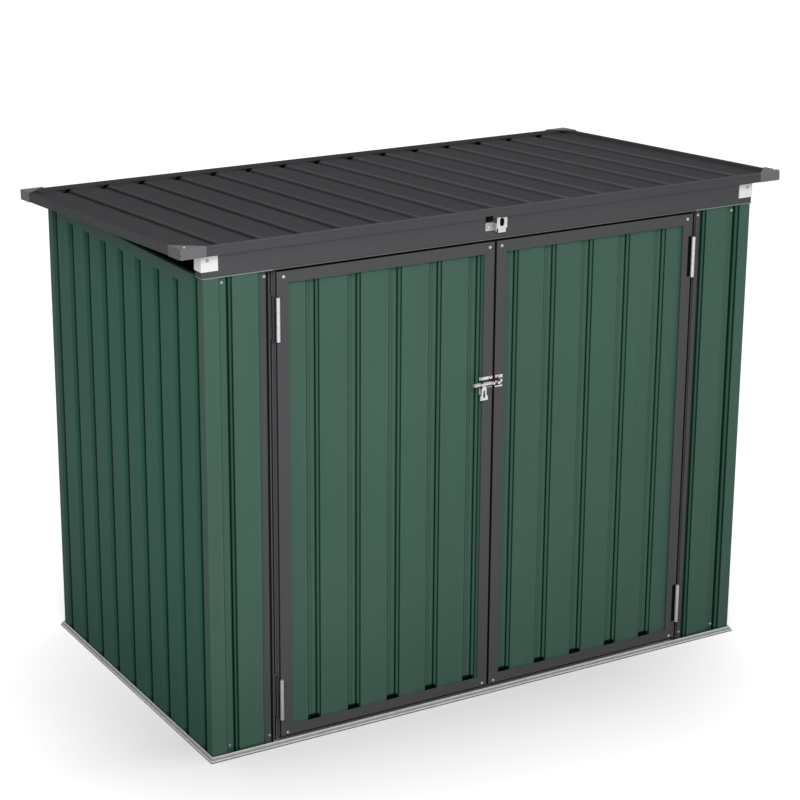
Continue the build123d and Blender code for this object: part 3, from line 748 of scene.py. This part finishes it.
def slot_finishes(look):
    """Plain finish of each slot of the record, for the pieces that have none of their own, with painted light
    and shade on the rail, zinc and caps.
    """
    coat = (look.paint_roughness, look.paint_gloss)
    cap = scaled(look.cap, CAP_SHARE)
    return {
        "green_panel": paint_finish(
            "green_paint", scaled(look.panel, PANEL_SHARES), coat, powers=GREEN_POWERS
        ),
        "grey_trim": paint_finish("anthracite_trim_paint", look.trim, coat),
        "lid_grey": paint_finish("anthracite_lid_paint", scaled(look.lid, LID_SHARE), lid_coat(look)),
        "galvanised": metal_finish("galvanised_steel", look.galvanised, GALVANISED_LOOK, rail_shade),
        "zinc": metal_finish("bright_zinc", look.zinc, ZINC_LOOK, hollow_shade),
        "white_clip": plastic_finish("white_plastic", look.clip, CLIP_ROUGHNESS),
        "cap_grey": plastic_finish("grey_plastic", cap, CAP_ROUGHNESS, cap_shade),
    }


def sheet_finishes(look):
    """Green paint of the grooved sheets, by piece, with the painted shade of their folds."""
    coat = (look.paint_roughness, look.paint_gloss)

    def green(name, shade, shares=PANEL_SHARES):
        return paint_finish(name, scaled(look.panel, shares), coat, shade, powers=GREEN_POWERS)

    return {
        **both("{}_wall", green("green_side_sheet", side_shade, SIDE_SHADE_SHARES)),
        "back_wall": green("green_back_sheet", back_shade),
        **both("{}_door_sheet", green("green_door_sheet", door_shade)),
        **both("front_wall_{}", green("green_front_sheet", narrow_shade)),
        **both("corner_front_{}", green("green_front_corner", front_corner_shade)),
        **both("corner_back_{}", green("green_back_corner", back_corner_shade)),
    }


def trim_finishes(look):
    """Anthracite paint of the door frames, posts and fascia, by piece, with their painted light and shade."""
    coat = (look.paint_roughness, look.paint_gloss)

    def grey(name, shade):
        return paint_finish(name, look.trim, coat, shade)

    return {
        "door_post_left": grey("anthracite_left_post_paint", left_post_shade),
        "door_post_right": grey("anthracite_right_post_paint", right_post_shade),
        "left_door_hinge_stile": grey("anthracite_hinge_stile_paint", hinge_stile_shade),
        "right_door_hinge_stile": grey("anthracite_right_stile_paint", right_hinge_stile_shade),
        **both("{}_door_lock_stile", grey("anthracite_stile_paint", stile_shade)),
        **both("{}_door_top_rail", grey("anthracite_rail_paint", top_rail_shade)),
        **both("{}_door_bottom_rail", grey("anthracite_foot_paint", bottom_rail_shade)),
        "fascia": grey("anthracite_fascia_paint", fascia_shade),
    }


def lid_coat(look):
    """Roughness and gloss of the lid's paint."""
    return look.paint_roughness + LID_ROUGHENING, look.paint_gloss * LID_GLOSS


def lid_finishes(look):
    """Anthracite paint of the lid, by piece, with its painted light and shade."""
    coat = lid_coat(look)
    paint = scaled(look.lid, LID_SHARE)
    rim = scaled(look.lid, RIM_LIGHT_SHARE)
    return {
        "lid_sheet": paint_finish("anthracite_lid_sheet", paint, coat, lid_shade, ROLLED_BACK),
        **both("lid_rim_{}", paint_finish("anthracite_side_rim_paint", paint, coat, side_rim_shade)),
        "lid_rim_front": paint_finish("anthracite_rim_paint", rim, coat, front_rim_shade),
    }


def hardware_finishes(look):
    """Zinc and galvanised steel of the hardware, by piece, with their painted light and shade."""
    leaf = scaled(look.zinc, LEAF_SHARES)
    eye = scaled(look.lid, EYE_SHADE_SHARE)
    dull = scaled(look.zinc, DULL_SHARE)
    hinge = part_painted_finish("door_hinge_zinc", leaf, look.trim, PAINTED_LEAVES, LEAF_BANDS)
    bolt_plate = metal_finish("bolt_plate_zinc", look.zinc, ZINC_LOOK, bolt_shade)
    return {
        "door_hinge_posts": hinge,
        **both("{}_door_hinges", hinge),
        "lid_lock_eye": part_painted_finish("lid_eye_zinc", look.zinc, eye, PAINTED_EYE),
        "fascia_catch": metal_finish("dull_zinc", dull, DULL_ZINC_LOOK, hollow_shade),
        "left_door_bolt_plate": bolt_plate,
        "right_door_bolt_keeper": bolt_plate,
        "base_rail_front": metal_finish(
            "galvanised_front_rail", look.galvanised, GALVANISED_LOOK, front_rail_shade
        ),
    }


class ShedFinish(bpy.types.Operator):
    """Give every piece of the frame its paint, plating or plastic"""

    bl_idname = "shed.finish"
    bl_label = "Finish the Frame"

    def execute(self, context):
        look = context.scene.shed_finish
        by_slot = slot_finishes(look)
        by_piece = {
            **sheet_finishes(look),
            **trim_finishes(look),
            **lid_finishes(look),
            **hardware_finishes(look),
        }
        for name, piece in NODES.items():
            piece.data.materials.clear()
            piece.data.materials.append(by_piece.get(name) or by_slot[SLOT_OF[name]])
        return {"FINISHED"}


def model_screw(sizes):
    """One pan-head screw with a washer and a cross recess, standing on z = 0."""
    deselect()
    bpy.ops.mesh.primitive_circle_add(
        vertices=SCREW_CORNERS, radius=sizes.washer_radius, fill_type="NGON"
    )
    screw = bpy.context.object
    bpy.ops.object.mode_set(mode="EDIT")
    bpy.ops.mesh.select_all(action="SELECT")
    bpy.ops.mesh.normals_make_consistent(inside=False)

    def raise_face(height):
        bpy.ops.mesh.extrude_region_move(TRANSFORM_OT_translate={"value": (0, 0, height)})

    raise_face(sizes.washer_height)
    bpy.ops.mesh.inset(thickness=sizes.washer_radius - sizes.head_radius)
    raise_face(sizes.head_height * HEAD_SIDE)
    top_radius = sizes.head_radius
    for share, scale in HEAD_RINGS:
        raise_face(sizes.head_height * share)
        bpy.ops.transform.resize(value=(scale, scale, 1))
        top_radius *= scale
    bpy.ops.mesh.inset(thickness=top_radius - sizes.recess_radius)
    mesh = bmesh.from_edit_mesh(screw.data)
    ring = sorted((v for v in mesh.verts if v.select), key=lambda v: math.atan2(v.co.y, v.co.x))
    for place, vert in enumerate(ring):
        if place % 4:
            share = RECESS_CORNER if place % 4 == 2 else RECESS_BESIDE
            vert.co.xy = vert.co.xy * share
    bmesh.update_edit_mesh(screw.data)
    raise_face(-sizes.recess_depth)
    bpy.ops.mesh.select_all(action="SELECT")
    bpy.ops.mesh.normals_make_consistent(inside=False)
    bpy.ops.object.mode_set(mode="OBJECT")
    bpy.ops.object.shade_smooth_by_angle(angle=SMOOTH_ANGLE)
    return screw


def seat(node, start, direction):
    """Where a line from start first meets a piece of the frame, and the way its surface faces."""
    found, place, normal, _ = NODES[node].ray_cast(Vector(start), Vector(direction))
    if not found:
        raise RuntimeError(f"no surface of {node} along {direction} from {start}")
    return place, normal


def from_front(node, x, z):
    """Seat on a piece seen from the front."""
    return seat(node, (x, -2, z), (0, 1, 0))


def from_back(node, x, z):
    """Seat on a piece seen from the back."""
    return seat(node, (x, 2, z), (0, -1, 0))


def from_top(node, x, y):
    """Seat on a piece seen from above."""
    return seat(node, (x, y, 3), (0, 0, -1))


def set_screws(name, body, screw, seats, finish="screw_zinc"):
    """Copy the screw to each seat, turned to its surface, and join the copies into one piece."""
    copies = []
    for place, normal in seats:
        copy = bpy.data.objects.new(name, screw.data.copy())
        bpy.context.scene.collection.objects.link(copy)
        turn = normal.to_track_quat("Z", "Y").to_matrix().to_4x4()
        copy.data.transform(Matrix.Translation(place) @ turn)
        copies.append(copy)
    deselect()
    for copy in copies:
        copy.select_set(True)
    bpy.context.view_layer.objects.active = copies[0]
    if len(copies) > 1:
        bpy.ops.object.join()
    piece = bpy.context.view_layer.objects.active
    piece.name = name
    piece.data.materials.clear()
    piece.data.materials.append(bpy.data.materials[finish])
    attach(piece, body)
    return piece


class ShedScrews(bpy.types.Operator):
    """Put the screws on the walls, doors, lid and hardware"""

    bl_idname = "shed.screws"
    bl_label = "Set the Screws"

    def execute(self, context):
        zinc = scaled(context.scene.shed_finish.zinc, SCREW_SHARES)
        metal_finish("screw_zinc", zinc, ZINC_LOOK, hollow_shade)
        metal_finish("wall_screw_zinc", scaled(zinc, WALL_SCREW_SHARE), ZINC_LOOK, hollow_shade)
        screw = model_screw(context.scene.shed_screws)
        cap_seats = []
        clip_seats = []
        for side, name in ((-1, "left"), (1, "right")):
            door = f"{name}_door"
            seats = [
                from_front(f"{door}_{rail}", side * x, z)
                for rail, z in DOOR_SCREW_HEIGHTS.items()
                for x in DOOR_SCREWS
            ]
            set_screws(f"{door}_corner_screws", door, screw, seats)
            heights = WALL_SCREW_HEIGHTS
            seats = [from_front(f"corner_front_{name}", side * FRONT_CORNER_SCREW, z) for z in heights]
            seats += [from_front(f"door_post_{name}", side * POST_SCREW, z) for z in heights]
            seats += [from_back(f"corner_back_{name}", side * BACK_CORNER_SCREW, z) for z in heights]
            set_screws(f"{name}_wall_screws", "shed", screw, seats, "wall_screw_zinc")
            cap_seats += [from_top("lid_corner_caps", side * CAP_SCREW, y) for y in CAP_SCREW_DEPTHS]
            clip_seats.append(from_front("fascia_clips", side * CLIP_SCREW[0], CLIP_SCREW[1]))
        set_screws("lid_cap_screws", "lid", screw, cap_seats)
        set_screws("clip_screws", "shed", screw, clip_seats, "dull_zinc")
        set_screws("catch_screw", "shed", screw, [from_front("fascia_catch", *CATCH_SCREW)])
        seats = [from_front("left_door_bolt_plate", *place) for place in BOLT_PLATE_SCREWS]
        set_screws("bolt_plate_screws", "left_door", screw, seats)
        seats = [from_front("right_door_bolt_keeper", *KEEPER_SCREW)]
        set_screws("keeper_screw", "right_door", screw, seats)
        bpy.data.objects.remove(screw)
        return {"FINISHED"}


def beyond(tree, axis, half):
    """Square of the distance past the shed's box along an axis."""
    off = reckon(tree, "SUBTRACT", reckon(tree, "ABSOLUTE", object_axis(tree, axis)), half)
    return reckon(tree, "POWER", reckon(tree, "MAXIMUM", off, 0), 2)


def window(tree, axis):
    """1 in the painted shadow round the shed along an axis, fading to 0."""
    half, middle, blur = SHADE_WINDOWS[axis]
    off = reckon(tree, "ABSOLUTE", reckon(tree, "SUBTRACT", object_axis(tree, axis), middle))
    return ramp(tree, off, (half - blur, half + blur), (1.0, 0.0))


def floor_finish(stage):
    """Pale floor: white to the camera, with a painted shadow round the shed and painted shade under it, and
    dim in what it bounces back.
    """
    finish, tree, shader = new_finish("studio_floor")
    shader.inputs["Roughness"].default_value = FLOOR_ROUGHNESS
    shader.inputs["Specular IOR Level"].default_value = 0.0
    shader.inputs["Emission Color"].default_value = WHITE
    path = tree.nodes.new("ShaderNodeLightPath")
    seen = reckon(tree, "MAXIMUM", path.outputs["Is Camera Ray"], path.outputs["Is Glossy Ray"])
    # Painted shade on the floor under the shed
    on_width = inside(tree, object_axis(tree, "X"), -WALL_X, WALL_X)
    on_depth = inside(tree, object_axis(tree, "Y"), FACE_Y, BACK_Y)
    open_share = toned(tree, product(tree, on_width, on_depth), COVERED_SHARE)
    # Painted shadow round the shed, taken off the glow
    shade = product(tree, window(tree, "X"), window(tree, "Y"))
    glow = reckon(tree, "MULTIPLY_ADD", shade, -SHADE_DEPTH, stage.floor_glow)
    glow = reckon(tree, "MAXIMUM", glow, 0)
    tree.links.new(product(tree, seen, open_share, glow), shader.inputs["Emission Strength"])
    away = reckon(tree, "SQRT", reckon(tree, "ADD", beyond(tree, "X", LID_X), beyond(tree, "Y", LID_Y)))
    bounce = node_in(tree, "ShaderNodeMapRange", From_Min=BOUNCE_REACH[0], From_Max=BOUNCE_REACH[1])
    bounce.inputs["To Min"].default_value, bounce.inputs["To Max"].default_value = BOUNCE_TONES
    tree.links.new(away, bounce.inputs["Value"])
    pale = product(tree, path.outputs["Is Camera Ray"], FLOOR_TONE, open_share)
    grey = reckon(tree, "MAXIMUM", pale, bounce.outputs["Result"])
    tree.links.new(tinted(tree, stage.floor_tint, grey), shader.inputs["Base Color"])
    return finish


def make_floor(stage):
    """Wide flat floor just under the shed."""
    deselect()
    bpy.ops.mesh.primitive_plane_add(size=2 * stage.floor_half, location=(0, 0, -FLOOR_DROP))
    floor = bpy.context.object
    floor.name = "studio_floor"
    bpy.ops.object.transform_apply(location=True, rotation=True, scale=True)
    floor.data.materials.append(floor_finish(stage))


def make_world(stage):
    """Even light from all round, which the camera sees as white."""
    world = bpy.data.worlds.new("studio_world")
    world.use_nodes = True
    tree = world.node_tree
    light = tree.nodes["Background"]
    light.inputs["Color"].default_value = WHITE
    light.inputs["Strength"].default_value = stage.world_strength
    white = node_in(tree, "ShaderNodeBackground", Color=WHITE, Strength=1.0)
    path = tree.nodes.new("ShaderNodeLightPath")
    mix = tree.nodes.new("ShaderNodeMixShader")
    tree.links.new(path.outputs["Is Camera Ray"], mix.inputs[0])
    tree.links.new(light.outputs[0], mix.inputs[1])
    tree.links.new(white.outputs[0], mix.inputs[2])
    tree.links.new(mix.outputs[0], tree.nodes["World Output"].inputs["Surface"])
    return world


def aim(thing, target):
    """Turn a lamp or camera towards a point."""
    way = Vector(target) - thing.location
    thing.rotation_euler = way.to_track_quat("-Z", "Y").to_euler()


def make_key(stage):
    """Large round lamp in front, above and to the left."""
    bpy.ops.object.light_add(type="AREA", location=stage.key_place)
    key = bpy.context.object
    key.name = "key_light"
    key.data.shape = "DISK"
    key.data.size = stage.key_size
    key.data.energy = stage.key_strength
    aim(key, stage.key_target)


def make_camera(stage):
    """Camera at the shed's left front."""
    camera = bpy.data.objects.new("photo_camera", bpy.data.cameras.new("photo_camera"))
    bpy.context.scene.collection.objects.link(camera)
    camera.data.sensor_width = SENSOR_WIDTH
    camera.data.lens = stage.camera_lens
    camera.data.shift_x, camera.data.shift_y = stage.camera_shift
    camera.location = stage.camera_place
    aim(camera, stage.camera_target)
    return camera


class ShedStage(bpy.types.Operator):
    """Make the floor, the light and the camera"""

    bl_idname = "shed.stage"
    bl_label = "Set the Stage"

    def execute(self, context):
        stage = context.scene.shed_stage
        make_floor(stage)
        context.scene.world = make_world(stage)
        make_key(stage)
        context.scene.camera = make_camera(stage)
        context.scene.view_settings.view_transform = "Standard"
        return {"FINISHED"}


class ShedPanel(bpy.types.Panel):
    """Steps and settings of the shed in the sidebar"""

    bl_idname = "VIEW3D_PT_shed"
    bl_label = "Metal Shed"
    bl_space_type = "VIEW_3D"
    bl_region_type = "UI"
    bl_category = "Shed"

    def draw(self, context):
        for step in STEPS:
            self.layout.operator(step.bl_idname)
        for group in SETTINGS:
            settings = getattr(context.scene, group)
            for name in settings.bl_rna.properties.keys():
                if name not in ("rna_type", "name"):
                    self.layout.prop(settings, name)


SETTINGS = {
    "shed_finish": ShedFinishSettings,
    "shed_screws": ShedScrewSettings,
    "shed_stage": ShedStageSettings,
}
STEPS = (ShedFinish, ShedScrews, ShedStage)


def register():
    """Register the classes and hang the settings on the scene."""
    for made in (*SETTINGS.values(), *STEPS, ShedPanel):
        bpy.utils.register_class(made)
    for name, group in SETTINGS.items():
        setattr(bpy.types.Scene, name, bpy.props.PointerProperty(type=group))


def unregister():
    """Take the settings and classes away again."""
    for name in SETTINGS:
        delattr(bpy.types.Scene, name)
    for made in reversed((*SETTINGS.values(), *STEPS, ShedPanel)):
        bpy.utils.unregister_class(made)


def main():
    """Run every step in order."""
    register()
    bpy.ops.shed.finish()
    bpy.ops.shed.screws()
    bpy.ops.shed.stage()
    bpy.context.view_layer.update()


if __name__ == "__main__":
    main()
